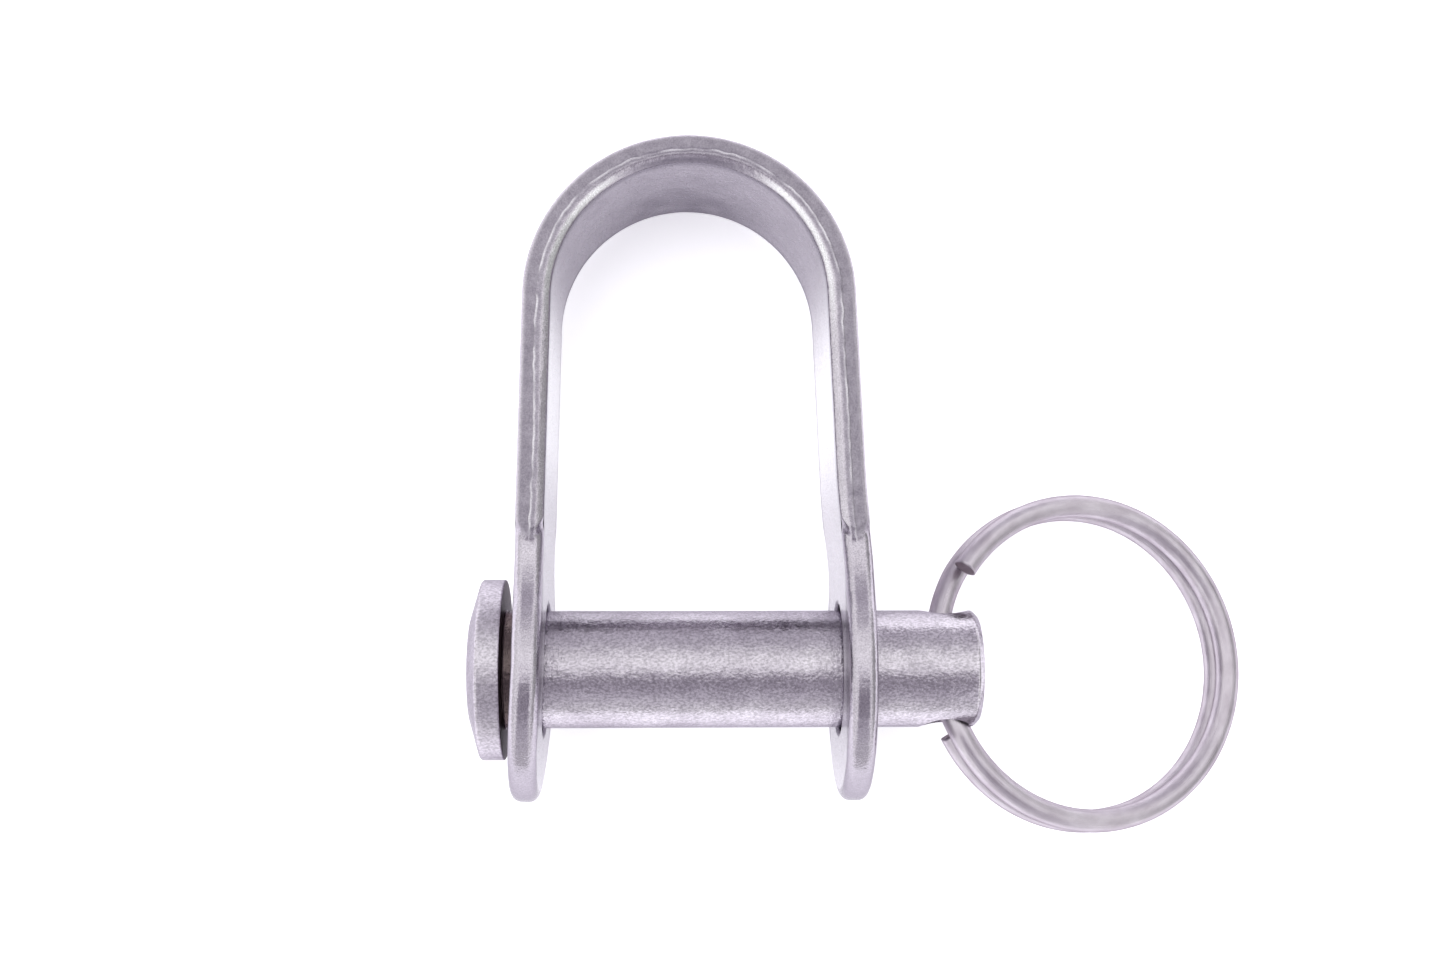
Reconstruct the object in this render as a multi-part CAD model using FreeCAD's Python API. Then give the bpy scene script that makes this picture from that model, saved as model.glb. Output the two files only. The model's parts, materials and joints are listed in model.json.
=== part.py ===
import FreeCAD, Part
import math
import os

# Pressed strip dee shackle with a headed clevis pin and a split ring.
# Frame, in millimetres: +X runs along the pin from its head to its ringed end, +Y points
# from the pin to the crown of the bow, +Z is across the width of the strip.
# Origin: on the pin axis, half way between the two ears, in the middle of the strip's width.

Vector = FreeCAD.Vector

# ---- driving dimensions: strip and bow -------------------------------------------------
STRIP_THICK = 1.2          # thickness of the stainless strip
STRIP_WIDTH = 9.0          # width of the strip in the crown and the legs
CROWN_INNER_R = 5.75       # inside radius of the crown bend
CROWN_CENTRE_Y = 15.3      # height of the crown's centre above the pin axis
CROWN_SHIFT_X = -0.2       # the pressed bow leans this far towards the pin's head
LEG_SPLAY_HEAD = 1.3       # degrees that the head-side leg opens outwards
LEG_SPLAY_RING = 2.4       # degrees that the ring-side leg opens outwards
EAR_GAP = 12.4             # clear width between the two ears
EAR_RADIUS = 5.6           # outer radius of each round ear about the pin axis
EAR_HOLE_DIA = 5.5         # punched hole for the pin

# ---- driving dimensions: neck between leg and ear --------------------------------------
NECK_HALF_WIDTH = 4.2      # half width of the strip at its narrowest, just above the ear
NECK_Y = 5.1               # height of the narrowest point above the pin axis
LIP_RADIUS = 0.3           # rounded step where the leg's cut edge meets the neck
JOGGLE_TOP_Y = 7.4         # the leg starts to bend across to its ear here
JOGGLE_BOTTOM_Y = 4.2      # the leg is in line with its ear from here down
EAR_FLARE_HEAD = 0.35      # the head-side ear's lower rim stands out by this much
EAR_FLARE_RING = 0.0       # the ring-side ear is flat

# ---- driving dimensions: clevis pin ----------------------------------------------------
PIN_DIA = 5.0              # shank diameter
PIN_END_X = 12.2           # free end of the shank
PIN_END_CHAMFER = 0.25
HEAD_DIA = 7.7
HEAD_UNDERSIDE_X = -8.0    # bearing face of the head
HEAD_RIM = 1.0             # length of the head's cylindrical rim
HEAD_THICK = 1.5
HEAD_FACE_DIA = 4.4        # flat outer face inside the head's chamfer
CROSS_HOLE_X = 10.8        # drilled hole for the ring, near the free end
CROSS_HOLE_DIA = 2.2
CROSS_HOLE_TURN = -5.0     # degrees that the pin stands turned about +X at rest

# ---- driving dimensions: split ring ----------------------------------------------------
WIRE_DIA = 1.0
RING_RADIUS = 6.9          # mean radius of the coil
COIL_STEP = 1.03           # distance between the two turns, centre to centre
FRONT_END_ANGLE = 142.0    # where the front turn is cut, from the ring's far side
BACK_END_ANGLE = -156.0    # where the back turn is cut, one crossing further on
HOLE_ANGLE = -180.0        # where the wire passes through the pin's cross hole
RING_SEAT = 0.25           # the wire lies this far off the cross hole's centre line
RING_YAW = 3.5             # degrees that the ring is turned in its own plane about the hole
RING_DROOP = 14.5          # degrees that the far side of the ring hangs below the pin
RING_PATH_STEP = 15.0      # degrees of coil between two points of the wire's centre line

# ---- derived sizes ---------------------------------------------------------------------
HALF_WIDTH = STRIP_WIDTH / 2
CROWN_MID_R = CROWN_INNER_R + STRIP_THICK / 2
EAR_MID_X = EAR_GAP / 2 + STRIP_THICK / 2
PIN_RADIUS = PIN_DIA / 2
WIRE_RADIUS = WIRE_DIA / 2
CUT_MARGIN = 2.0           # how far cutting and trimming tools reach past the metal


def leg_centre_line(side, splay_deg, flare):
    """Corner points of one leg's centre line, from the crown's springing to below the ear."""
    splay = math.radians(splay_deg)
    spring_x = CROWN_MID_R * math.cos(splay)
    spring_y = CROWN_CENTRE_Y + CROWN_MID_R * math.sin(splay)
    joggle_x = spring_x + (spring_y - JOGGLE_TOP_Y) * math.tan(splay)
    shift = side * CROWN_SHIFT_X
    bottom_y = -EAR_RADIUS - CUT_MARGIN
    return [
        (spring_x + shift, spring_y),
        (joggle_x + shift, JOGGLE_TOP_Y),
        (EAR_MID_X, JOGGLE_BOTTOM_Y),
        (EAR_MID_X, 0),
        (EAR_MID_X - flare * bottom_y / EAR_RADIUS, bottom_y),
    ]


def shifted_line(points, distance):
    """Parallel copy of an open run of points, to its outer (+) or inner (-) side."""
    normals = []
    for (x0, y0), (x1, y1) in zip(points, points[1:]):
        length = math.hypot(x1 - x0, y1 - y0)
        normals.append(((y0 - y1) / length, (x1 - x0) / length))
    result = []
    for index, (x, y) in enumerate(points):
        before = normals[max(index - 1, 0)]
        after = normals[min(index, len(normals) - 1)]
        scale = distance / (1 + before[0] * after[0] + before[1] * after[1])
        result.append((x + (before[0] + after[0]) * scale, y + (before[1] + after[1]) * scale))
    return result


def bow_profile_edge(distance):
    """One face of the bent strip, as edges from the head-side ear over to the ring-side ear."""
    edges = []
    runs = {}
    legs = ((-1, LEG_SPLAY_HEAD, EAR_FLARE_HEAD), (1, LEG_SPLAY_RING, EAR_FLARE_RING))
    for side, splay, flare in legs:
        run = shifted_line(leg_centre_line(side, splay, flare), distance)
        runs[side] = [Vector(side * x, y, 0) for x, y in run]
    crown_top = Vector(CROWN_SHIFT_X, CROWN_CENTRE_Y + CROWN_MID_R + distance, 0)
    left = list(reversed(runs[-1]))
    right = runs[1]
    for start, end in zip(left, left[1:]):
        edges.append(Part.LineSegment(start, end).toShape())
    edges.append(Part.Arc(left[-1], crown_top, right[0]).toShape())
    for start, end in zip(right, right[1:]):
        edges.append(Part.LineSegment(start, end).toShape())
    return edges, left[0], right[-1]


def bent_strip():
    """The strip bent to its U shape, still wide enough for the ears along its whole length."""
    outer, outer_left, outer_right = bow_profile_edge(STRIP_THICK / 2)
    inner, inner_left, inner_right = bow_profile_edge(-STRIP_THICK / 2)
    closing = [
        Part.LineSegment(outer_left, inner_left).toShape(),
        Part.LineSegment(outer_right, inner_right).toShape(),
    ]
    ordered = Part.__sortEdges__(outer + inner + closing)
    face = Part.Face(Part.Wire(ordered))
    reach = EAR_RADIUS + CUT_MARGIN
    face.translate(Vector(0, 0, -reach))
    return face.extrude(Vector(0, 0, 2 * reach))


def blank_side_outline():
    """Side view of the cut strip, a face in the YZ plane: straight edges, necks, round ears."""
    rise = EAR_RADIUS - NECK_HALF_WIDTH
    fillet_r = (NECK_Y ** 2 / rise - EAR_RADIUS - NECK_HALF_WIDTH) / 2
    centre = Vector(0, NECK_Y, NECK_HALF_WIDTH + fillet_r)
    meet = centre * (EAR_RADIUS / centre.Length)
    aim = math.atan2(meet.z - centre.z, meet.y - centre.y)
    half_aim = (aim - math.pi / 2) / 2
    lip_start = Vector(0, NECK_Y + 2 * LIP_RADIUS, HALF_WIDTH)
    lip_low = Vector(0, NECK_Y + LIP_RADIUS, NECK_HALF_WIDTH)
    diagonal = LIP_RADIUS * math.sqrt(0.5)
    lip_mid = Vector(0, lip_start.y - diagonal, lip_low.z + diagonal)
    neck = Vector(0, NECK_Y, NECK_HALF_WIDTH)
    fillet_mid = Vector(
        0,
        centre.y + fillet_r * math.cos(half_aim),
        centre.z + fillet_r * math.sin(half_aim),
    )
    top_y = CROWN_CENTRE_Y + CROWN_MID_R + STRIP_THICK + CUT_MARGIN
    top = Vector(0, top_y, HALF_WIDTH)

    def below(point):
        return Vector(point.x, point.y, -point.z)

    edges = [Part.Arc(meet, Vector(0, -EAR_RADIUS, 0), below(meet)).toShape()]
    for flip in (lambda point: point, below):
        edges.append(Part.Arc(flip(meet), flip(fillet_mid), flip(neck)).toShape())
        edges.append(Part.LineSegment(flip(neck), flip(lip_low)).toShape())
        edges.append(Part.Arc(flip(lip_low), flip(lip_mid), flip(lip_start)).toShape())
        edges.append(Part.LineSegment(flip(lip_start), flip(top)).toShape())
    edges.append(Part.LineSegment(top, below(top)).toShape())
    return Part.Face(Part.Wire(Part.__sortEdges__(edges)))


def make_bow():
    reach = EAR_MID_X + STRIP_THICK + CUT_MARGIN
    outline = blank_side_outline()
    outline.translate(Vector(-reach, 0, 0))
    trimmed = bent_strip().common(outline.extrude(Vector(2 * reach, 0, 0)))
    hole = Part.makeCylinder(EAR_HOLE_DIA / 2, 2 * reach, Vector(-reach, 0, 0), Vector(1, 0, 0))
    return trimmed.cut(hole)


def make_clevis_pin():
    head_face_x = HEAD_UNDERSIDE_X - HEAD_THICK
    half_section = [
        (head_face_x, 0),
        (head_face_x, HEAD_FACE_DIA / 2),
        (HEAD_UNDERSIDE_X - HEAD_RIM, HEAD_DIA / 2),
        (HEAD_UNDERSIDE_X, HEAD_DIA / 2),
        (HEAD_UNDERSIDE_X, PIN_RADIUS),
        (PIN_END_X - PIN_END_CHAMFER, PIN_RADIUS),
        (PIN_END_X, PIN_RADIUS - PIN_END_CHAMFER),
        (PIN_END_X, 0),
        (head_face_x, 0),
    ]
    section = Part.Face(Part.makePolygon([Vector(x, y, 0) for x, y in half_section]))
    blank = section.revolve(Vector(0, 0, 0), Vector(1, 0, 0), 360)
    reach = PIN_RADIUS + CUT_MARGIN
    start = Vector(CROSS_HOLE_X, -reach, 0)
    drill = Part.makeCylinder(CROSS_HOLE_DIA / 2, 2 * reach, start, Vector(0, 1, 0))
    pin = blank.cut(drill)
    pin.rotate(Vector(0, 0, 0), Vector(1, 0, 0), CROSS_HOLE_TURN)
    return pin


def coil_height(angle):
    """Height of the wire above the coil's middle plane, from the front turn to the back one."""
    travelled = FRONT_END_ANGLE - angle
    front_run = FRONT_END_ANGLE - BACK_END_ANGLE
    share = (travelled - front_run) / (360 - front_run)
    return COIL_STEP * (0.5 - min(max(share, 0), 1))


def coil_point(angle):
    """A point of the wire's centre line, with the cross hole's centre as the origin."""
    turn = math.radians(angle)
    x = RING_RADIUS * (1 + math.cos(turn)) - RING_SEAT
    y = RING_RADIUS * math.sin(turn)
    return Vector(x, y, coil_height(angle) - coil_height(HOLE_ANGLE))


def make_split_ring():
    """Two flat turns of round wire; the wire crosses between them inside the pin's cross hole."""
    total = FRONT_END_ANGLE - BACK_END_ANGLE + 360
    steps = round(total / RING_PATH_STEP)
    points = [coil_point(FRONT_END_ANGLE - total * index / steps) for index in range(steps + 1)]
    curve = Part.BSplineCurve()
    curve.interpolate(points)
    path = Part.Wire(curve.toShape())
    start_tangent = curve.tangent(curve.FirstParameter)[0]
    section = Part.Wire(Part.makeCircle(WIRE_RADIUS, points[0], start_tangent))
    ring = path.makePipeShell([section], True, True)
    ring.rotate(Vector(0, 0, 0), Vector(0, 0, 1), RING_YAW)
    ring.rotate(Vector(0, 0, 0), Vector(0, 1, 0), RING_DROOP)
    ring.translate(Vector(CROSS_HOLE_X, 0, 0))
    ring.rotate(Vector(0, 0, 0), Vector(1, 0, 0), CROSS_HOLE_TURN)
    return ring


def main():
    os.makedirs("parts", exist_ok=True)
    nodes = {
        "bow": make_bow(),
        "clevis_pin": make_clevis_pin(),
        "split_ring": make_split_ring(),
    }
    for name, shape in nodes.items():
        shape.exportStep("parts/" + name + ".step")
        box = shape.BoundBox
        sizes = "x %.2f..%.2f  y %.2f..%.2f  z %.2f..%.2f" % (
            box.XMin, box.XMax, box.YMin, box.YMax, box.ZMin, box.ZMax)
        print(name, shape.isValid(), len(shape.Solids), round(shape.Volume, 2), sizes)


main()
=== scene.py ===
import json
import math

import bmesh
import bpy
from mathutils import Matrix, Vector, noise


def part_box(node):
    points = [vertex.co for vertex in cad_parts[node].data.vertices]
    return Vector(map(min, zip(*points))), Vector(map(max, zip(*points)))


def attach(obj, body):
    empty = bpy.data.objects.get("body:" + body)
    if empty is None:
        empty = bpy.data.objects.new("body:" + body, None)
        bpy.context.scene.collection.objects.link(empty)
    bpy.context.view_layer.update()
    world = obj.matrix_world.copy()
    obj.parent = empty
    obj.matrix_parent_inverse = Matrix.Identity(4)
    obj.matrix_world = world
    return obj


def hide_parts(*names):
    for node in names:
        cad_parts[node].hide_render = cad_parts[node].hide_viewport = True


# Looks of a strip dee shackle: a bow bent from sheared strip, a turned clevis pin, a split ring.
# Meshes are built in millimetres in the frame of the CAD model, and scaled to metres at the end.
# X runs along the pin from its head, Y up to the crown, and Z out of the shackle's plane.

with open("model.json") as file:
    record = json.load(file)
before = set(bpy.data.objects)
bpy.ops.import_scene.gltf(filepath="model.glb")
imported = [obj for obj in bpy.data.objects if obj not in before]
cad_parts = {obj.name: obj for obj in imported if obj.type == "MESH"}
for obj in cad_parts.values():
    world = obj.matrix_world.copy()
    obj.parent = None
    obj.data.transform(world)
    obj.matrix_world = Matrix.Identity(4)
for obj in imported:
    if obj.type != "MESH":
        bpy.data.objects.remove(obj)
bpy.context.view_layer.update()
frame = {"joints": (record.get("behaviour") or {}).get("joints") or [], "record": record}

MM = 0.001
mounts = {mount["name"]: mount for mount in frame["record"]["mounts"]}
joints = {joint["name"]: joint for joint in frame["joints"]}
bow_low, bow_high = (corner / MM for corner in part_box("bow"))
pin_low, pin_high = (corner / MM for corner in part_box("clevis_pin"))

# ---- sizes read from the frame ---------------------------------------------------------
CROWN_INNER_R = mounts["crown_saddle"]["dims"]["r_mm"]
STRIP_WIDTH = mounts["crown_saddle"]["dims"]["length_mm"]
CROWN_SHIFT_X = mounts["crown_saddle"]["pos_m"][0] / MM
CROWN_CENTRE_Y = mounts["crown_saddle"]["pos_m"][1] / MM
STRIP_THICK = bow_high.y - CROWN_CENTRE_Y - CROWN_INNER_R
MIDDLE_R = CROWN_INNER_R + STRIP_THICK / 2           # the crown's centre line
EAR_RADIUS = -bow_low.y
EAR_GAP = mounts["pin_span"]["dims"]["length_mm"]
PIN_RADIUS = mounts["pin_span"]["dims"]["r_mm"]
PIN_END_X = pin_high.x
HEAD_FACE_X = pin_low.x
HEAD_RADIUS = pin_high.z
CROSS_HOLE_X = joints["ring_swing"]["pos_m"][0] / MM
CROSS_HOLE_TURN = math.atan2(joints["ring_swing"]["axis"][2], joints["ring_swing"]["axis"][1])

# ---- sizes the frame doesn't state, in millimetres and degrees ------------------------
LEG_SPLAY = {-1: 1.3, 1: 2.4}      # each leg opens outwards by this much; -1 is the head's side
EAR_FLARE = {-1: 0.35, 1: 0.0}     # each ear's lower rim stands out by this much
EAR_HOLE_R = 2.75
NECK_HALF_WIDTH = 4.2
NECK_Y = 5.1
LIP_DROP = 0.3                     # the neck is cut this much deeper than the leg
LIP_TOP_Y = 5.75                   # the leg's cut edge ends here, in a rounded tongue
TONGUE_ROUNDING = 0.5              # the tongue's corners lie this much higher than its tip
JOGGLE_TOP_Y = 7.4
JOGGLE_BOTTOM_Y = 4.2
JOGGLE_SOFTNESS = 0.7              # the joggle's bends are spread this far either way
EAR_PATCH_TOP_Y = 6.9              # below this height the strip is meshed round the ear's hole

ROLLOVER_R = 0.36                  # the inner edge of the sheared strip is drawn round
ROLLOVER_FULLNESS = 1.25           # 2 is a true round, and 1 a flat bevel
ROLLOVER_DROP = 0.72               # the rollover falls back by this share of what a round would
GROOVE_INSET = 0.03                # the cut is sunk this much beside the burr
FRACTURE_INSET = 0.09              # the torn half of the cut leans in by this much
OUTER_EDGE_R = 0.20
TUMBLED_R = 0.46                   # both edges of the ears
HOLE_EDGE_R = 0.14
FRACTURE_ROUGH = 0.012             # how deep each of two waves sinks the torn band
FACE_DENT = 0.012                  # dents left in the strip's faces by tumbling
SURFACE_DENT = 0.006               # the same on the pin and the wire

HEAD_UNDERSIDE_X = -8.0
HEAD_RIM_X = -9.0                  # the head's chamfer starts here
HEAD_FACE_R = 2.2
END_CHAMFER = 0.25
CROSS_HOLE_R = 1.1
COUNTERSINK = 0.09                 # how much wider the cross hole's mouths are
PIN_SHARP_ANGLE = 38               # edges of the pin that turn by more than this look sharp

WIRE_RADIUS = 0.5
RING_RADIUS = 6.9
COIL_STEP = 1.03                   # from one turn of the wire to the next
FRONT_END_ANGLE = 142.0
BACK_END_ANGLE = -156.0
HOLE_ANGLE = -180.0                # where on the coil the wire passes through the pin
RING_SEAT = 0.25                   # the wire lies this far from the cross hole's middle
RING_YAW = 3.5
RING_DROOP = 14.5
WIRE_END_DENT = 0.1                # how deep the roughness of a cut end goes
WIRE_END_SINK = 0.06               # how deep its middle lies
WIRE_END_RINGS = (0.86, 0.6, 0.3)  # the cut end's rings of mesh, as shares of the wire's radius

# ---- bands across a cut edge, as shares of the strip's thickness from its inner face ----
BURR_DEPTH = 0.45
BURR_WIDTH = 0.021
BURR_STRAY = 0.05                  # how far each of two waves moves the burr line
ROLLOVER_END = (0.2, 0.32)
TORN_RISE = (BURR_DEPTH, BURR_DEPTH + 0.06)
TORN_BAND = (TORN_RISE, (0.88, 1.0))
SHEARED_BAND = ((0.22, 0.34), (0.80, 0.96))
CREST_BAND = ((0.03, 0.09), (0.16, 0.27))
STRAY_BAND = ((0.1, BURR_DEPTH), (BURR_DEPTH, 0.9))

# ---- painted shade and painted highlights, by millimetres along the strip from the crown's top, and darkening by height on the ears --
CROWN_SHADE_REACH = 4.0
ROLLOVER_SHADE_REACH = 3.4
ROLLOVER_HIGHLIGHT_RISE = (2.6, 4.6)
ROLLOVER_HIGHLIGHT_FALL = (8, 12)
FACE_HIGHLIGHT_RISE = (7, 13)
FACE_HIGHLIGHT_FALL = (15, 19)
EAR_DARKENING_RISE = (-1.5, -4.8)

# ---- mesh resolution -------------------------------------------------------------------
WELD_DISTANCE = 2e-6               # in metres
STATION_STEP = 0.13                # distance between two rows along the strip
FACE_STRIPS = 22                   # columns across the strip's width
CUT_ROWS = 44                      # rows across the thickness on a cut edge
EAR_RINGS = 10                     # rows from an ear's hole out to its rim
HOLE_ROWS = 28                     # rows along a hole's wall
NECK_STEPS = 24                    # steps of the ear's outline: down each leg,
FILLET_STEPS = 18                  # round each neck's fillet,
RIM_STEPS = 70                     # and round each half of the rim
LATHE_STEP = 0.16                  # longest step along the pin's profile
LATHE_SIDES = 200
ROUNDING_STEPS = 6                 # steps round each corner of the pin's profile
DRILL_SIDES = 72
WIRE_SIDES = 28
WIRE_STEP = 1.0                    # degrees of coil between two rows of the wire

# ---- camera, in the frame's millimetres and degrees -------------------------------------
CAMERA_TILT = 5.8
CAMERA_LEAN = 1.7
CAMERA_PLACE = (1.25, 8.05, 80.0)  # right, up and back of the origin, along the camera's own axes
CAMERA_LENS = 46.44
CAMERA_SENSOR = 36.0

# ---- studio, in metres and degrees -------------------------------------------------------
FLOOR_SIZE = 12.0                  # so that its edges lie far off
FLOOR_TILT = 2.85                  # the shackle lies on its ears and the edge of its crown
FLOOR_GLOW = 0.45
FLOOR_ROUGHNESS = 0.9
KEY_SIZE = (0.5, 0.3)
KEY_ENERGY = 1.7
KEY_PLACE = (-0.12, 0.10, 0.55)

# ---- colours ---------------------------------------------------------------------------
WHITE = (1.0, 1.0, 1.0)
STEEL_DARK = (0.47, 0.435, 0.49)
STEEL_LIGHT = (0.63, 0.595, 0.65)
SHEARED_DARK = (0.27, 0.246, 0.292)
SHEARED_LIGHT = (0.36, 0.332, 0.383)
# Colour of the painted highlights on the rollover's crest and on the legs' inner faces
PAINTED_HIGHLIGHT_STEEL = (0.86, 0.855, 0.88)
# Colour of the painted shade at the crown, the rollover and the ears' holes, and of the darkened
# ears' rims and outer face
SHADE_AND_DULL_STEEL = (0.27, 0.245, 0.295)
# Near-white painted highlight along the burr line, which is a real ridge in the mesh
BURR_HIGHLIGHT_COLOUR = (0.92, 0.90, 0.94)
# Painted shade in the gap between the pin's head and the ear
GAP_SHADE_COLOUR = (0.13, 0.10, 0.10)
WIRE_DARK = (0.45, 0.405, 0.455)
WIRE_LIGHT = (0.60, 0.56, 0.61)
WIRE_TORN = (0.42, 0.36, 0.40)
FLOOR_COLOUR = (0.89, 0.885, 0.91)
FLOOR_GLOW_COLOUR = (0.97, 0.97, 1.0)

# How much of its reflection at glancing angles each metal keeps
BOW_GLANCING = (0.6, 0.585, 0.615)
PIN_GLANCING = (0.5, 0.48, 0.52)
WIRE_GLANCING = (0.40, 0.36, 0.40)

# Roughness, from the smoothest grain to the roughest where there are two numbers
FACE_ROUGHNESS = (0.22, 0.36)
TORN_ROUGHNESS = (0.34, 0.50)
POLISHED_ROUGHNESS = 0.13
PIN_ROUGHNESS = (0.13, 0.24)
HEAD_ROUGHNESS = 0.32
WIRE_ROUGHNESS = (0.26, 0.38)
WIRE_TORN_ROUGHNESS = 0.5

# The light that comes from all round, by degrees from overhead towards +Y
SURROUND = (
    (-95, (1.0, 1.0, 1.0)),
    (-70, (0.84, 0.82, 0.87)),
    (-48, (0.64, 0.61, 0.68)),
    (-38, (0.44, 0.41, 0.47)),
    (-16, (0.42, 0.39, 0.45)),
    (-8, (1.0, 0.98, 1.02)),
    (5, (1.35, 1.35, 1.35)),
    (26, (1.25, 1.25, 1.25)),
    (44, (0.78, 0.76, 0.81)),
    (66, (0.66, 0.63, 0.70)),
    (92, (0.70, 0.67, 0.74)),
)
# The same at the two sides, by share of the way from -X to +X
SURROUND_SIDES = ((0.05, 1.1), (0.22, 1.35), (0.78, 1.35), (0.95, 0.5))
SIDES_START = ((0.28, 0.0), (0.55, 1.0))     # how far out to a side they take over


# ---- small helpers ---------------------------------------------------------------------
def smooth_step(low, high, value):
    share = min(max((value - low) / (high - low), 0), 1)
    return share * share * (3 - 2 * share)


def band(value, rise, fall):
    """Rises from 0 to 1 over the run `rise`, and falls back to 0 over the run `fall`."""
    return smooth_step(*rise, value) * (1 - smooth_step(*fall, value))


def mixed(first, second, share):
    return first + (second - first) * share


def side_of(value):
    return 1 if value > 0 else -1


def bumps(place, size, seed):
    """Smooth noise from -1 to 1 that changes over about `size` millimetres."""
    return noise.noise(Vector(place) / size + Vector((seed, 2 * seed, 3 * seed)))


def dips(place, size, seed):
    """The same noise, from 0 to 1."""
    return 0.5 + 0.5 * bumps(place, size, seed)


class Shell:
    """Grids of points that become one mesh; grids that share an edge are welded there."""

    def __init__(self):
        self.points = []
        self.faces = []
        self.fields = []

    def grid(self, rows, wrap=False):
        """Each point of a row is (place, fields), and fields are named numbers for the shader."""
        first = len(self.points)
        width = len(rows[0])
        for row in rows:
            for place, fields in row:
                self.points.append(place)
                self.fields.append(fields)
        for row in range(len(rows) - 1):
            for column in range(width if wrap else width - 1):
                across = (column + 1) % width
                start = first + row * width
                self.faces.append((start + column, start + across,
                                   start + width + across, start + width + column))

    def fan(self, row, place, fields):
        """Closes a round row of points with a fan to one point."""
        first = len(self.points)
        for point, values in row + [(place, fields)]:
            self.points.append(point)
            self.fields.append(values)
        tip = len(self.points) - 1
        for index in range(len(row)):
            self.faces.append((first + index, first + (index + 1) % len(row), tip))

    def build(self, name, field_names, vector_names):
        """Makes the piece, in metres, with the named fields as attributes of its mesh."""
        mesh = bpy.data.meshes.new(name)
        mesh.from_pydata([Vector(place) * MM for place in self.points], [], self.faces)
        for field in field_names:
            layer = mesh.attributes.new(field, "FLOAT", "POINT")
            layer.data.foreach_set("value", [values.get(field, 0.0) for values in self.fields])
        for field in vector_names:
            layer = mesh.attributes.new(field, "FLOAT_VECTOR", "POINT")
            flat = [number for values in self.fields for number in values[field]]
            layer.data.foreach_set("vector", flat)
        shape = bmesh.new()
        shape.from_mesh(mesh)
        bmesh.ops.remove_doubles(shape, verts=shape.verts, dist=WELD_DISTANCE)
        bmesh.ops.recalc_face_normals(shape, faces=shape.faces)
        for face in shape.faces:
            face.smooth = True
        shape.to_mesh(mesh)
        shape.free()
        piece = bpy.data.objects.new(name, mesh)
        bpy.context.scene.collection.objects.link(piece)
        return piece


# ---- bow -------------------------------------------------------------------------------
def spring_of(side):
    """Height where the crown's arc meets a leg, and the arc's length from the crown's top."""
    splay = math.radians(LEG_SPLAY[side])
    return CROWN_CENTRE_Y + MIDDLE_R * math.sin(splay), MIDDLE_R * (math.pi / 2 - splay)


def straight_leg_x(side, y):
    """Distance of a leg's centre line from the middle, where the leg is straight."""
    splay = math.radians(LEG_SPLAY[side])
    spring_y, _ = spring_of(side)
    return MIDDLE_R * math.cos(splay) + (spring_y - y) * math.tan(splay) + side * CROWN_SHIFT_X


def sharp_leg_x(side, y):
    """The same distance down the whole leg and ear, before the bends are softened."""
    if y > JOGGLE_TOP_Y:
        return straight_leg_x(side, y)
    ear_x = (EAR_GAP + STRIP_THICK) / 2
    if y < JOGGLE_BOTTOM_Y:
        return ear_x + EAR_FLARE[side] * max(-y, 0) / EAR_RADIUS
    share = (y - JOGGLE_BOTTOM_Y) / (JOGGLE_TOP_Y - JOGGLE_BOTTOM_Y)
    return mixed(ear_x, straight_leg_x(side, JOGGLE_TOP_Y), share)


def leg_x(side, y):
    """The same distance with soft bends: its mean over a short stretch of the leg."""
    spread = [JOGGLE_SOFTNESS * step / 4 for step in range(-4, 5)]
    fade = 1 - smooth_step(JOGGLE_TOP_Y + 1, JOGGLE_TOP_Y + 3, y)
    return sum(sharp_leg_x(side, y + offset * fade) for offset in spread) / len(spread)


def centre_line(s):
    """Point of the strip's centre line and its outward normal; s is 0 at the crown's top."""
    side = side_of(s)
    spring_y, arc = spring_of(side)
    if abs(s) <= arc:
        turn = s / MIDDLE_R
        normal = Vector((math.sin(turn), math.cos(turn), 0))
        return Vector((CROWN_SHIFT_X, CROWN_CENTRE_Y, 0)) + normal * MIDDLE_R, normal
    y = spring_y - (abs(s) - arc)
    step = 0.05
    slope = (leg_x(side, y - step) - leg_x(side, y + step)) / (2 * step)
    normal = Vector((side, slope, 0)).normalized()
    return Vector((side * leg_x(side, y), y, 0)), normal


def station_of(side, y):
    """Distance s along the strip of a place on a leg or ear, from its height y."""
    spring_y, arc = spring_of(side)
    return side * (arc + spring_y - y)


def height_of(s):
    """Height y of a place on a leg or ear; on the crown, as if the leg ran on straight."""
    spring_y, arc = spring_of(side_of(s))
    return spring_y + arc - abs(s)


def bent_point(s, z, depth, values, rough=0.0):
    """A point of the bent strip; depth runs from 0 at the inner face to 1 at the outer one."""
    centre, normal = centre_line(s)
    lift = STRIP_THICK * (depth - 0.5)
    flat = Vector((s, z, lift))
    near_face = 1 - smooth_step(0, 0.25, min(depth, 1 - depth))
    lift -= side_of(depth - 0.5) * FACE_DENT * near_face * dips(flat, 0.9, 5)
    sink = rough * (dips(flat, 0.16, 9) + dips(flat, 0.5, 3))
    place = centre + normal * lift + Vector((0, 0, z - side_of(z) * sink))
    return place, {"blank_place": tuple(flat), **values}


def burr_highlight_strength(s, z):
    """The painted highlight on the burr line fades out in places."""
    return smooth_step(-0.35, 0.25, bumps((s, side_of(z), 0), 1.1, 17))


def round_drop(radius, distance, fullness=2.0):
    """How far an edge falls back at this distance from its face; fullness 2 is a true round."""
    if distance >= radius:
        return 0.0
    share = 1 - distance / radius
    return radius * (1 - (1 - share ** fullness) ** (1 / fullness))


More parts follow.
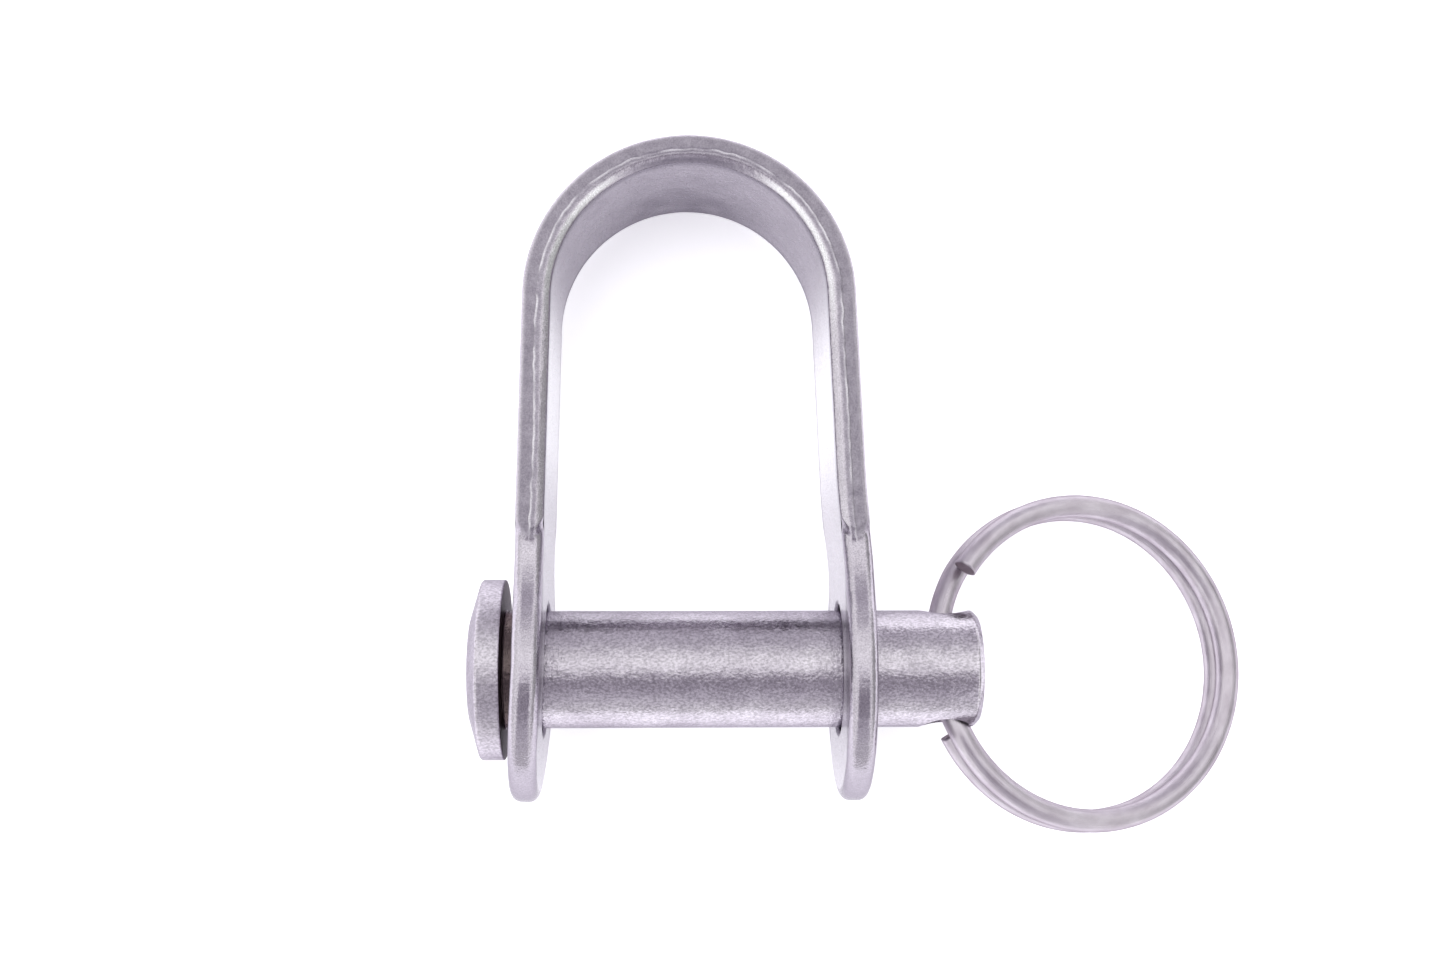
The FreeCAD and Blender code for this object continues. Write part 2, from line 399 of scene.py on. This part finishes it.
def cut_inset(depth, tumbled):
    """How far a cut edge is sunk; it goes from freshly sheared to tumbled smooth, 0 to 1."""
    lift = depth * STRIP_THICK
    inner_r = mixed(ROLLOVER_R, TUMBLED_R, tumbled)
    outer_r = mixed(OUTER_EDGE_R, TUMBLED_R, tumbled)
    fullness = mixed(ROLLOVER_FULLNESS, 2, tumbled)
    rounding = mixed(ROLLOVER_DROP, 1, tumbled) * round_drop(inner_r, lift, fullness)
    rounding += round_drop(outer_r, STRIP_THICK - lift)
    beside = math.exp(-((depth - BURR_DEPTH + 2 * BURR_WIDTH) / (1.5 * BURR_WIDTH)) ** 2)
    sheared = FRACTURE_INSET * smooth_step(*TORN_RISE, depth) * (0.4 + 0.6 * depth)
    sheared += GROOVE_INSET * beside * (1 - burr_ridge(depth))
    return rounding + sheared * (1 - tumbled)


def burr_ridge(depth):
    return math.exp(-((depth - BURR_DEPTH) / BURR_WIDTH) ** 2)


def burr_wander(s, z):
    """How far the burr line strays across the cut, as a share of the thickness."""
    place = (s, side_of(z), 0)
    return BURR_STRAY * (bumps(place, 0.45, 7) + bumps(place, 3.5, 11))


def rollover_painted_shade(s, depth):
    """Painted shade in the crease where the rollover meets the inner face, and a painted dark
    reflection right across the rollover at the crown's top.
    """
    crease = 0.8 * (1 - smooth_step(0.0, 0.04, depth))
    crown = math.exp(-(s / ROLLOVER_SHADE_REACH) ** 4) * (1 - smooth_step(0.10, 0.24, depth))
    return max(crease, crown)


def rollover_painted_highlight(s, depth):
    """Painted highlight on the rollover's crest: strong on the crown's shoulders, and faint along the
    legs.
    """
    along = 0.85 * smooth_step(*ROLLOVER_HIGHLIGHT_RISE, abs(s))
    along -= 0.8 * smooth_step(*ROLLOVER_HIGHLIGHT_FALL, abs(s))
    return band(depth, *CREST_BAND) * along


def ear_darkening(y, tumbled):
    """The ears' rims are painted darker, more so towards their lower end."""
    return tumbled * (0.22 + 0.3 * smooth_step(*EAR_DARKENING_RISE, y))


def cut_row(s, z, outward):
    """The points across one cut edge. outward is the edge's normal in the flat (s, z) plane."""
    y = height_of(s)
    tumbled = ear_tumbling(y)
    fresh = 1 - tumbled
    row = []
    for depth in crowded_shares(CUT_ROWS):
        inset = cut_inset(depth, tumbled)
        edge_s = s - outward[0] * inset - side_of(s) * tongue_lift(y, depth)
        edge_z = z - outward[1] * inset
        strayed = depth + fresh * band(depth, *STRAY_BAND) * burr_wander(s, z)
        torn = fresh * band(depth, *TORN_BAND)
        values = {
            "fracture": torn,
            # painted highlight along the burr line
            "burr_highlight": fresh * burr_ridge(depth) * burr_highlight_strength(s, z),
            # painted shade on the rollover, and the ears' rims painted darker
            "stain_and_shade": max(fresh * rollover_painted_shade(s, depth), ear_darkening(y, tumbled)),
            # painted highlight on the rollover's crest
            "painted_highlight": fresh * rollover_painted_highlight(s, depth),
            "sheared": fresh * band(depth, *SHEARED_BAND),
            "polished": max(tumbled, 1 - smooth_step(*ROLLOVER_END, depth)),
        }
        row.append(bent_point(edge_s, edge_z, strayed, values, FRACTURE_ROUGH * torn))
    return row


def tongue_lift(y, depth):
    """How far up the leg the end of its cut edge is drawn, towards the strip's two faces."""
    near_lip = band(y, (NECK_Y - 0.1, NECK_Y + 0.2), (LIP_TOP_Y, EAR_PATCH_TOP_Y))
    return TONGUE_ROUNDING * near_lip * (2 * depth - 1) ** 2


def ear_tumbling(y):
    """The ears are tumbled smooth, and the legs keep their sheared edge down to the neck."""
    return 1 - smooth_step(NECK_Y - 0.2, LIP_TOP_Y, y)


def crowded_shares(count):
    """Shares from 0 to 1 that lie closer together towards both ends."""
    return [0.5 - 0.5 * math.cos(math.pi * index / count) for index in range(count + 1)]


def face_columns(z_edge, inset):
    """Places across the strip's face, from its +Z edge to its -Z edge."""
    return [(z_edge - inset) * (1 - 2 * share) for share in crowded_shares(FACE_STRIPS)]


def ear_outline():
    """The cut outline round one ear as (y, z), from the leg's +Z edge round to its -Z edge."""
    rise = EAR_RADIUS - NECK_HALF_WIDTH
    fillet_r = (NECK_Y ** 2 / rise - EAR_RADIUS - NECK_HALF_WIDTH) / 2
    centre_z = NECK_HALF_WIDTH + fillet_r
    meet_angle = math.atan2(centre_z, NECK_Y)
    points = []
    for index in range(NECK_STEPS + 1):
        y = mixed(EAR_PATCH_TOP_Y, NECK_Y, index / NECK_STEPS)
        drop = LIP_DROP * (1 - smooth_step(NECK_Y + 0.1, LIP_TOP_Y, y))
        points.append((y, STRIP_WIDTH / 2 - drop))
    for index in range(1, FILLET_STEPS + 1):
        turn = mixed(1.5 * math.pi, math.pi + meet_angle, index / FILLET_STEPS)
        points.append((NECK_Y + fillet_r * math.cos(turn), centre_z + fillet_r * math.sin(turn)))
    for index in range(1, RIM_STEPS + 1):
        turn = mixed(meet_angle, math.pi, index / RIM_STEPS)
        points.append((EAR_RADIUS * math.cos(turn), EAR_RADIUS * math.sin(turn)))
    return points + [(y, -z) for y, z in reversed(points[:-1])]


def outline_normals(points):
    """Unit normals of an open run of points in the (y, z) plane, pointing out of the metal."""
    normals = []
    for index in range(len(points)):
        before = points[max(index - 1, 0)]
        after = points[min(index + 1, len(points) - 1)]
        along = (after[0] - before[0], after[1] - before[1])
        length = math.hypot(*along)
        normals.append((along[1] / length, -along[0] / length))
    return normals


def crown_painted_shade(s, z, depth):
    """Painted shade on the bend's inner face: blotchy over its middle, most of all towards its back
    edge, and along both its edges.
    """
    along = math.exp(-(s / CROWN_SHADE_REACH) ** 2) * (1 - depth)
    cloud = 0.85 + 0.5 * bumps((s, z, 0), 1.3, 21)
    middle_shade = along * cloud * (0.2 + 0.8 * smooth_step(2.5, -3.5, z))
    edge = 0.8 * (1 - depth) * smooth_step(STRIP_WIDTH / 2 - 0.9, STRIP_WIDTH / 2 - 0.4, abs(z))
    return min(1.0, max(middle_shade, edge))


def face_fields(s, z, depth):
    """The strip's inner face gets a painted highlight along the legs and painted shade at the crown,
    and its outer face is a little darker.
    """
    leg_highlight = 0.85 * smooth_step(*FACE_HIGHLIGHT_RISE, abs(s)) - 0.4 * smooth_step(*FACE_HIGHLIGHT_FALL, abs(s))
    return {"stain_and_shade": crown_painted_shade(s, z, depth) + 0.3 * depth, "painted_highlight": (1 - depth) * leg_highlight}


def add_legs_and_crown(shell):
    """The strip from one ear's patch over the crown to the other's: two cut edges, two faces."""
    start = station_of(-1, EAR_PATCH_TOP_Y)
    end = station_of(1, EAR_PATCH_TOP_Y)
    count = round((end - start) / STATION_STEP)
    stations = [mixed(start, end, index / count) for index in range(count + 1)]
    half = STRIP_WIDTH / 2
    for side in (1, -1):
        shell.grid([cut_row(s, side * half, (0, side)) for s in stations])
    for depth in (0, 1):
        columns = face_columns(half, cut_inset(depth, 0.0))
        shell.grid([[bent_point(s, z, depth, face_fields(s, z, depth)) for z in columns]
                    for s in stations])


def add_ear(shell, side):
    """An ear and the neck above it: its rim, then each face in rings from the hole outwards."""
    outline = ear_outline()
    normals = outline_normals(outline)
    shell.grid([cut_row(station_of(side, y), z, (-side * normal_y, normal_z))
                for (y, z), (normal_y, normal_z) in zip(outline, normals)])
    for depth in (0, 1):
        loop = ear_face_loop(outline, normals, depth)
        rows = []
        for share in crowded_shares(EAR_RINGS):
            row = []
            for y, z in loop:
                scale = mixed((EAR_HOLE_R + HOLE_EDGE_R) / math.hypot(y, z), 1, share)
                s = station_of(side, y * scale)
                row.append(bent_point(s, z * scale, depth, face_fields(s, z * scale, depth)))
            rows.append(row)
        shell.grid(rows, wrap=True)
    add_hole(shell, side, outline, normals)


def ear_face_loop(outline, normals, depth):
    """The border of an ear's flat face as (y, z): round its rim, then across the leg above it."""
    loop = []
    for (y, z), (normal_y, normal_z) in zip(outline, normals):
        inset = cut_inset(depth, ear_tumbling(y))
        loop.append((y - normal_y * inset + tongue_lift(y, depth), z - normal_z * inset))
    chord = face_columns(STRIP_WIDTH / 2, cut_inset(depth, 0.0))
    return loop + [(EAR_PATCH_TOP_Y, z) for z in chord[::-1][1:-1]]


def add_hole(shell, side, outline, normals):
    """The punched hole's wall, with both its edges drawn round."""
    inner_turns, outer_turns = (
        [math.atan2(z, y) for y, z in ear_face_loop(outline, normals, depth)] for depth in (0, 1)
    )
    rows = []
    for depth in crowded_shares(HOLE_ROWS):
        radius = EAR_HOLE_R + round_drop(HOLE_EDGE_R, min(depth, 1 - depth) * STRIP_THICK)
        row = []
        for inner, outer in zip(inner_turns, outer_turns):
            turn = inner + math.remainder(outer - inner, 2 * math.pi) * depth
            y = radius * math.cos(turn)
            z = radius * math.sin(turn)
            # the hole's wall, a recess round the pin, is painted fully shaded
            row.append(bent_point(station_of(side, y), z, depth, {"stain_and_shade": 1.0}))
        rows.append(row)
    shell.grid(rows, wrap=True)


def make_bow():
    shell = Shell()
    add_legs_and_crown(shell)
    for side in (-1, 1):
        add_ear(shell, side)
    fields = ["fracture", "burr_highlight", "sheared", "polished", "stain_and_shade", "painted_highlight"]
    return shell.build("bow_detail", fields, ["blank_place"])


# ---- clevis pin ------------------------------------------------------------------------
def rounded_run(corners):
    """Points along a run of straight lines whose corners (x, radius, rounding) are rounded."""
    points = [corners[0][:2]]
    for before, corner, after in zip(corners, corners[1:], corners[2:]):
        here = Vector(corner[:2])
        back = (Vector(before[:2]) - here).normalized()
        ahead = (Vector(after[:2]) - here).normalized()
        half_angle = back.angle(ahead) / 2
        reach = corner[2] / math.tan(half_angle)
        centre = here + (back + ahead).normalized() * corner[2] / math.sin(half_angle)
        start = here + back * reach - centre
        end = here + ahead * reach - centre
        for index in range(ROUNDING_STEPS + 1):
            ray = start.slerp(end, index / ROUNDING_STEPS)
            points.append(tuple(centre + ray * corner[2]))
    points.append(corners[-1][:2])
    return points


def filled_run(points, longest):
    """The same run with extra points, so that no step is longer than `longest`."""
    filled = [points[0]]
    for start, end in zip(points, points[1:]):
        count = max(1, math.ceil(math.dist(start, end) / longest))
        for index in range(1, count + 1):
            share = index / count
            filled.append(tuple(mixed(a, b, share) for a, b in zip(start, end)))
    return filled


def neck_painted_shade(x, radius):
    """Painted shade in the gap between the head and the ear."""
    ear_face_x = -EAR_GAP / 2 - STRIP_THICK
    along = band(x, (HEAD_UNDERSIDE_X - 0.03, HEAD_UNDERSIDE_X), (ear_face_x, ear_face_x + 0.4))
    return along * (1 - smooth_step(HEAD_RADIUS - 0.1, HEAD_RADIUS, radius))


def make_pin():
    """The pin is turned from its profile: x, radius and rounding of each corner."""
    corners = [
        (HEAD_FACE_X, 0.0, 0),
        (HEAD_FACE_X, HEAD_FACE_R, 1.2),
        (HEAD_RIM_X, HEAD_RADIUS, 0.16),
        (HEAD_UNDERSIDE_X, HEAD_RADIUS, 0.07),
        (HEAD_UNDERSIDE_X, PIN_RADIUS, 0.1),
        (PIN_END_X - END_CHAMFER, PIN_RADIUS, 0.2),
        (PIN_END_X, PIN_RADIUS - END_CHAMFER, 0.12),
        (PIN_END_X, 0.0, 0),
    ]
    profile = filled_run(rounded_run(corners), LATHE_STEP)
    shell = Shell()
    rows = []
    for x, radius in profile[1:-1]:
        row = []
        # painted shade in the gap under the head
        gap_shade = neck_painted_shade(x, radius)
        head = 1 - smooth_step(HEAD_UNDERSIDE_X, HEAD_UNDERSIDE_X + 0.1, x)
        for index in range(LATHE_SIDES):
            turn = 2 * math.pi * index / LATHE_SIDES
            ray = Vector((0, math.cos(turn), math.sin(turn)))
            place = Vector((x, 0, 0)) + ray * radius
            dent = SURFACE_DENT * dips(place, 0.8, 4) * min(radius, 1)
            row.append((place - ray * dent, {"gap_shade": gap_shade, "head": head}))
        rows.append(row)
    shell.grid(rows, wrap=True)
    shell.fan(rows[0], Vector((HEAD_FACE_X, 0, 0)), {"head": 1.0})
    shell.fan(rows[-1], Vector((PIN_END_X, 0, 0)), {})
    pin = shell.build("clevis_pin_detail", ["gap_shade", "head"], [])
    cut_cross_hole(pin)
    return pin


def cut_cross_hole(pin):
    """Drills the hole for the ring, with its mouths broken by a small countersink."""
    # y and radius of the drill: clear of the pin, at the hole's mouth, and inside it
    half_run = [
        (-PIN_RADIUS - 1, CROSS_HOLE_R + 0.3),
        (-PIN_RADIUS - 0.02, CROSS_HOLE_R + COUNTERSINK),
        (-PIN_RADIUS + 0.14, CROSS_HOLE_R),
    ]
    run = half_run + [(-y, radius) for y, radius in reversed(half_run)]
    turns = [2 * math.pi * index / DRILL_SIDES for index in range(DRILL_SIDES)]
    shell = Shell()
    rows = []
    for y, radius in run:
        middle = Vector((CROSS_HOLE_X, y, 0))
        rows.append([(middle + Vector((math.cos(turn), 0, math.sin(turn))) * radius, {})
                     for turn in turns])
    shell.grid(rows, wrap=True)
    for end in (0, -1):
        shell.fan(rows[end], Vector((CROSS_HOLE_X, run[end][0], 0)), {})
    drill = shell.build("drill", [], [])
    drill.data.transform(Matrix.Rotation(CROSS_HOLE_TURN, 4, "X"))
    cut = pin.modifiers.new("cross_hole", "BOOLEAN")
    cut.object = drill
    cut.operation = "DIFFERENCE"
    cut.solver = "EXACT"
    graph = bpy.context.evaluated_depsgraph_get()
    drilled = bpy.data.meshes.new_from_object(pin.evaluated_get(graph))
    pin.modifiers.clear()
    pin.data = drilled
    bpy.data.objects.remove(drill)
    pin.data.set_sharp_from_angle(angle=math.radians(PIN_SHARP_ANGLE))


# ---- split ring ------------------------------------------------------------------------
def coil_height(angle):
    """Height of the wire above the coil's middle plane, from the front turn to the back one."""
    travelled = FRONT_END_ANGLE - angle
    front_run = FRONT_END_ANGLE - BACK_END_ANGLE
    share = (travelled - front_run) / (360 - front_run)
    return COIL_STEP * (0.5 - min(max(share, 0), 1))


def make_ring():
    """The wire is swept along its coil, which is then set into the pin's cross hole."""
    total = FRONT_END_ANGLE - BACK_END_ANGLE + 360
    steps = round(total / WIRE_STEP)
    middle = Vector((RING_RADIUS - RING_SEAT, 0, -coil_height(HOLE_ANGLE)))
    shell = Shell()
    rows = []
    for index in range(steps + 1):
        angle = FRONT_END_ANGLE - total * index / steps
        ray = Vector((math.cos(math.radians(angle)), math.sin(math.radians(angle)), 0))
        centre = middle + ray * RING_RADIUS + Vector((0, 0, coil_height(angle)))
        along = math.radians(total * index / steps) * RING_RADIUS
        row = []
        for side in range(WIRE_SIDES):
            turn = 2 * math.pi * side / WIRE_SIDES
            offset = ray * math.cos(turn) + Vector((0, 0, math.sin(turn)))
            dent = SURFACE_DENT * dips((along, turn, 0), 0.7, 6)
            fields = {"wire_place": (along, math.cos(turn), math.sin(turn)), "cut": 0.0}
            row.append((centre + offset * (WIRE_RADIUS - dent), fields))
        rows.append(row)
    shell.grid(rows, wrap=True)
    for end, inward in ((0, 1), (-1, -1)):
        add_wire_end(shell, rows, end, inward)
    ring = shell.build("split_ring_detail", ["cut"], ["wire_place"])
    place = Matrix.Rotation(CROSS_HOLE_TURN, 4, "X") @ Matrix.Translation((CROSS_HOLE_X * MM, 0, 0))
    place @= Matrix.Rotation(math.radians(RING_DROOP), 4, "Y")
    place @= Matrix.Rotation(math.radians(RING_YAW), 4, "Z")
    ring.data.transform(place)
    return ring


def add_wire_end(shell, rows, end, inward):
    """A cut end: a rough sunken face inside the wire's rim."""
    rim = rows[end]
    middle = sum((place for place, _ in rim), Vector()) / len(rim)
    beside = sum((place for place, _ in rows[end + inward]), Vector()) / len(rim)
    into = (beside - middle).normalized()
    previous = rim
    for share in WIRE_END_RINGS:
        ring = []
        for place, fields in rim:
            spot = middle + (place - middle) * share
            sunk = WIRE_END_DENT * dips(spot, 0.18, 13) * smooth_step(0.95, 0.5, share)
            ring.append((spot + into * sunk, dict(fields, cut=1.0)))
        shell.grid([previous, ring], wrap=True)
        previous = ring
    shell.fan(previous, middle + into * WIRE_END_SINK, dict(rim[0][1], cut=1.0))


# ---- materials -------------------------------------------------------------------------
def grey(value):
    return (value, value, value)


class Nodes:
    """Short ways to add and link shader nodes."""

    def __init__(self, tree):
        self.tree = tree

    def add(self, kind, **settings):
        node = self.tree.nodes.new(kind)
        for name, value in settings.items():
            setattr(node, name, value)
        return node

    def link(self, source, target):
        self.tree.links.new(source, target)

    def field(self, name, output="Fac"):
        return self.add("ShaderNodeAttribute", attribute_name=name).outputs[output]

    def scaled(self, vector, scale):
        node = self.add("ShaderNodeMapping")
        node.inputs["Scale"].default_value = scale
        self.link(vector, node.inputs["Vector"])
        return node.outputs["Vector"]

    def noise(self, vector, scale, detail, roughness):
        node = self.add("ShaderNodeTexNoise")
        node.inputs["Scale"].default_value = scale
        node.inputs["Detail"].default_value = detail
        node.inputs["Roughness"].default_value = roughness
        self.link(vector, node.inputs["Vector"])
        return node.outputs["Fac"]

    def ramp(self, value, stops):
        """Each stop is (position, colour), and a colour may be one number for a grey."""
        node = self.add("ShaderNodeValToRGB")
        elements = node.color_ramp.elements
        for index, (position, colour) in enumerate(stops):
            element = elements[index] if index < 2 else elements.new(position)
            element.position = position
            element.color = (*(colour if isinstance(colour, tuple) else grey(colour)), 1)
        self.link(value, node.inputs["Fac"])
        return node.outputs["Color"]

    def math(self, operation, first, second=0.0):
        node = self.add("ShaderNodeMath", operation=operation)
        for index, value in enumerate((first, second)):
            if isinstance(value, (int, float)):
                node.inputs[index].default_value = value
            else:
                self.link(value, node.inputs[index])
        return node.outputs[0]

    def mix(self, factor, first, second):
        node = self.add("ShaderNodeMix", data_type="RGBA")
        for socket, value in ((node.inputs["Factor"], factor), (node.inputs[6], first),
                              (node.inputs[7], second)):
            if isinstance(value, tuple):
                socket.default_value = (*value, 1)
            else:
                self.link(value, socket)
        return node.outputs[2]

    def speckle(self, colour, grain, darkest):
        """Multiplies a colour by fine grain, from `darkest` up to 1.15."""
        node = self.add("ShaderNodeMix", data_type="RGBA", blend_type="MULTIPLY")
        node.inputs["Factor"].default_value = 1.0
        self.link(colour, node.inputs[6])
        self.link(self.between(grain, (darkest, 1.15), 0.36, 0.62), node.inputs[7])
        return node.outputs[2]

    def between(self, value, ends, low=0.3, high=0.7):
        """A ramp from the first of `ends` to the second; noise lies mostly from 0.3 to 0.7."""
        return self.ramp(value, [(low, ends[0]), (high, ends[1])])

    def bump(self, height, distance, strength, below=None):
        """Distance is in millimetres; `below` is the normal that this bump is added to."""
        node = self.add("ShaderNodeBump")
        node.inputs["Strength"].default_value = strength
        node.inputs["Distance"].default_value = distance * MM
        self.link(height, node.inputs["Height"])
        if below is not None:
            self.link(below, node.inputs["Normal"])
        return node.outputs["Normal"]


def new_metal(name, grazing):
    """A metal shader; grazing is how much of the glancing reflection is left, as a colour."""
    material = bpy.data.materials.new(name)
    material.use_nodes = True
    nodes = Nodes(material.node_tree)
    shader = material.node_tree.nodes["Principled BSDF"]
    shader.inputs["Metallic"].default_value = 1.0
    shader.inputs["Specular Tint"].default_value = (*grazing, 1)
    return material, nodes, shader


def object_place(nodes):
    """Object coordinates in millimetres."""
    coordinate = nodes.add("ShaderNodeTexCoord").outputs["Object"]
    return nodes.scaled(coordinate, (1 / MM, 1 / MM, 1 / MM))


def bow_material():
    """Tumbled strip: satin faces, a darker sheared edge with a torn band, a burr, polished ears."""
    material, nodes, shader = new_metal("bow_steel", BOW_GLANCING)
    place = nodes.field("blank_place", "Vector")
    fracture = nodes.field("fracture")
    painted_highlight = nodes.field("painted_highlight")
    broad = nodes.noise(place, 0.8, 5, 0.6)
    middle = nodes.noise(place, 2.6, 4, 0.6)
    fine = nodes.noise(place, 7.0, 4, 0.7)
    grain = nodes.noise(place, 17.0, 3, 0.7)

    colour = nodes.between(broad, (STEEL_DARK, STEEL_LIGHT), 0.15, 0.85)
    # painted highlights on the rollover's crest and the legs' inner faces
    colour = nodes.mix(painted_highlight, colour, PAINTED_HIGHLIGHT_STEEL)
    # painted shade, and the darkening of the ears' rims and the outer face
    colour = nodes.mix(nodes.field("stain_and_shade"), colour, SHADE_AND_DULL_STEEL)
    sheared = nodes.between(middle, (SHEARED_DARK, SHEARED_LIGHT), 0.32, 0.68)
    colour = nodes.mix(nodes.field("sheared"), colour, sheared)
    # painted highlight along the burr line
    colour = nodes.mix(nodes.field("burr_highlight"), colour, BURR_HIGHLIGHT_COLOUR)
    nodes.link(nodes.speckle(colour, grain, 0.82), shader.inputs["Base Color"])
    # where the painted highlights lie, the glancing reflection is also left whole
    nodes.link(nodes.mix(painted_highlight, BOW_GLANCING, WHITE), shader.inputs["Specular Tint"])

    smooth = nodes.between(fine, FACE_ROUGHNESS)
    rough = nodes.between(fine, TORN_ROUGHNESS)
    roughness = nodes.mix(fracture, smooth, rough)
    roughness = nodes.mix(nodes.field("polished"), roughness, grey(POLISHED_ROUGHNESS))
    nodes.link(roughness, shader.inputs["Roughness"])

    normal = nodes.bump(broad, 0.15, 0.3)
    normal = nodes.bump(middle, 0.06, 0.4, normal)
    normal = nodes.bump(nodes.math("MULTIPLY", fine, fracture), 0.04, 0.6, normal)
    nodes.link(nodes.bump(grain, 0.01, 0.5, normal), shader.inputs["Normal"])
    return material


def pin_material():
    """Turned bar after tumbling: satin, finely pitted, with faint rings left by the lathe."""
    material, nodes, shader = new_metal("pin_steel", PIN_GLANCING)
    place = object_place(nodes)
    broad = nodes.noise(place, 0.7, 5, 0.6)
    middle = nodes.noise(place, 2.2, 4, 0.6)
    lathe = nodes.noise(nodes.scaled(place, (9, 0.4, 0.4)), 1.0, 3, 0.5)
    fine = nodes.noise(nodes.scaled(place, (8.0, 11.0, 11.0)), 1.0, 2, 0.6)

    colour = nodes.between(broad, (STEEL_DARK, STEEL_LIGHT))
    # painted shade in the gap between the head and the ear
    colour = nodes.mix(nodes.field("gap_shade"), colour, GAP_SHADE_COLOUR)
    nodes.link(nodes.speckle(colour, fine, 0.72), shader.inputs["Base Color"])

    roughness = nodes.between(fine, PIN_ROUGHNESS)
    roughness = nodes.mix(nodes.field("head"), roughness, grey(HEAD_ROUGHNESS))
    nodes.link(roughness, shader.inputs["Roughness"])

    normal = nodes.bump(lathe, 0.02, 0.25)
    normal = nodes.bump(middle, 0.08, 0.22, normal)
    pits = nodes.math("MULTIPLY", fine, nodes.between(middle, (0.35, 1.0), 0.38, 0.58))
    nodes.link(nodes.bump(pits, 0.014, 0.9, normal), shader.inputs["Normal"])
    return material


def ring_material():
    """Drawn wire: smooth satin with draw lines along it, and dark torn cut ends."""
    material, nodes, shader = new_metal("ring_wire", WIRE_GLANCING)
    place = nodes.field("wire_place", "Vector")
    cut = nodes.field("cut")
    lines = nodes.noise(nodes.scaled(place, (0.25, 9, 9)), 1.0, 4, 0.6)
    stain_and_shade = nodes.noise(place, 0.9, 4, 0.6)

    colour = nodes.between(stain_and_shade, (WIRE_DARK, WIRE_LIGHT))
    nodes.link(nodes.mix(cut, colour, WIRE_TORN), shader.inputs["Base Color"])

    roughness = nodes.between(lines, WIRE_ROUGHNESS)
    roughness = nodes.mix(cut, roughness, grey(WIRE_TORN_ROUGHNESS))
    nodes.link(roughness, shader.inputs["Roughness"])

    normal = nodes.bump(stain_and_shade, 0.10, 0.2)
    nodes.link(nodes.bump(lines, 0.02, 0.5, normal), shader.inputs["Normal"])
    return material


# ---- studio ----------------------------------------------------------------------------
def make_floor():
    """The floor that the shackle lies on; it glows a little, so that it shows white."""
    tilt = math.radians(FLOOR_TILT)
    bpy.ops.mesh.primitive_plane_add(size=FLOOR_SIZE)
    floor = bpy.context.object
    floor.name = "floor"
    floor.rotation_euler = (tilt, 0, 0)
    floor.location = (0, 0, -EAR_RADIUS / math.cos(tilt) * MM)
    material = bpy.data.materials.new("floor_white")
    material.use_nodes = True
    shader = material.node_tree.nodes["Principled BSDF"]
    shader.inputs["Base Color"].default_value = (*FLOOR_COLOUR, 1)
    shader.inputs["Roughness"].default_value = FLOOR_ROUGHNESS
    shader.inputs["Emission Color"].default_value = (*FLOOR_GLOW_COLOUR, 1)
    shader.inputs["Emission Strength"].default_value = FLOOR_GLOW
    floor.data.materials.append(material)


def make_world():
    """Soft studio surround: light bands that run from side to side, and plainer sides."""
    world = bpy.data.worlds.new("studio")
    bpy.context.scene.world = world
    world.use_nodes = True
    nodes = Nodes(world.node_tree)
    direction = nodes.add("ShaderNodeTexCoord").outputs["Generated"]
    parts = nodes.add("ShaderNodeSeparateXYZ")
    nodes.link(direction, parts.inputs[0])
    from_overhead = nodes.math("ARCTAN2", parts.outputs["Y"], parts.outputs["Z"])
    share = nodes.math("ADD", nodes.math("DIVIDE", from_overhead, 2 * math.pi), 0.5)
    bands = nodes.ramp(share, [(degrees / 360 + 0.5, colour) for degrees, colour in SURROUND])
    from_left = nodes.math("ADD", nodes.math("DIVIDE", parts.outputs["X"], 2.0), 0.5)
    sides = nodes.ramp(from_left, SURROUND_SIDES)
    sideways = nodes.math("ABSOLUTE", parts.outputs["X"])
    colour = nodes.mix(nodes.ramp(sideways, SIDES_START), bands, sides)
    background = world.node_tree.nodes["Background"]
    nodes.link(colour, background.inputs["Color"])
    background.inputs["Strength"].default_value = 1.0


def make_key_light():
    """A soft lamp overhead that lights the metal but isn't mirrored in it."""
    light = bpy.data.lights.new("key", "AREA")
    light.shape = "RECTANGLE"
    light.size, light.size_y = KEY_SIZE
    light.energy = KEY_ENERGY
    lamp = bpy.data.objects.new("key", light)
    lamp.location = KEY_PLACE
    lamp.rotation_euler = Vector(KEY_PLACE).to_track_quat("Z", "Y").to_euler()
    lamp.visible_glossy = False
    bpy.context.scene.collection.objects.link(lamp)


def make_camera():
    """Looks almost straight down, from a little towards the ears and the pin's head."""
    tilt = math.radians(CAMERA_TILT)
    lean = math.radians(CAMERA_LEAN)
    up = Vector((0, math.cos(tilt), math.sin(tilt)))
    level = Vector((0, -math.sin(tilt), math.cos(tilt)))
    right = Vector((math.cos(lean), 0, 0)) + level * math.sin(lean)
    back = Vector((-math.sin(lean), 0, 0)) + level * math.cos(lean)
    place = (right * CAMERA_PLACE[0] + up * CAMERA_PLACE[1] + back * CAMERA_PLACE[2]) * MM
    camera = bpy.data.objects.new("camera", bpy.data.cameras.new("camera"))
    camera.data.lens = CAMERA_LENS
    camera.data.sensor_width = CAMERA_SENSOR
    camera.data.clip_start = 0.001
    facing = Matrix((right, up, back)).transposed().to_4x4()
    camera.matrix_world = Matrix.Translation(place) @ facing
    bpy.context.scene.collection.objects.link(camera)
    bpy.context.scene.camera = camera


# ---- assembly --------------------------------------------------------------------------
PIECES = (
    (make_bow, bow_material, "bow", "bow", "bow_steel"),
    (make_pin, pin_material, "pin", "clevis_pin", "pin_steel"),
    (make_ring, ring_material, "ring", "split_ring", "ring_wire"),
)
for make_piece, make_material, body, node, slot in PIECES:
    piece = make_piece()
    piece.data.materials.clear()
    piece.data.materials.append(make_material())
    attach(piece, body)
    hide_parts(node)

make_floor()
make_world()
make_key_light()
make_camera()
bpy.context.scene.view_settings.view_transform = "Standard"
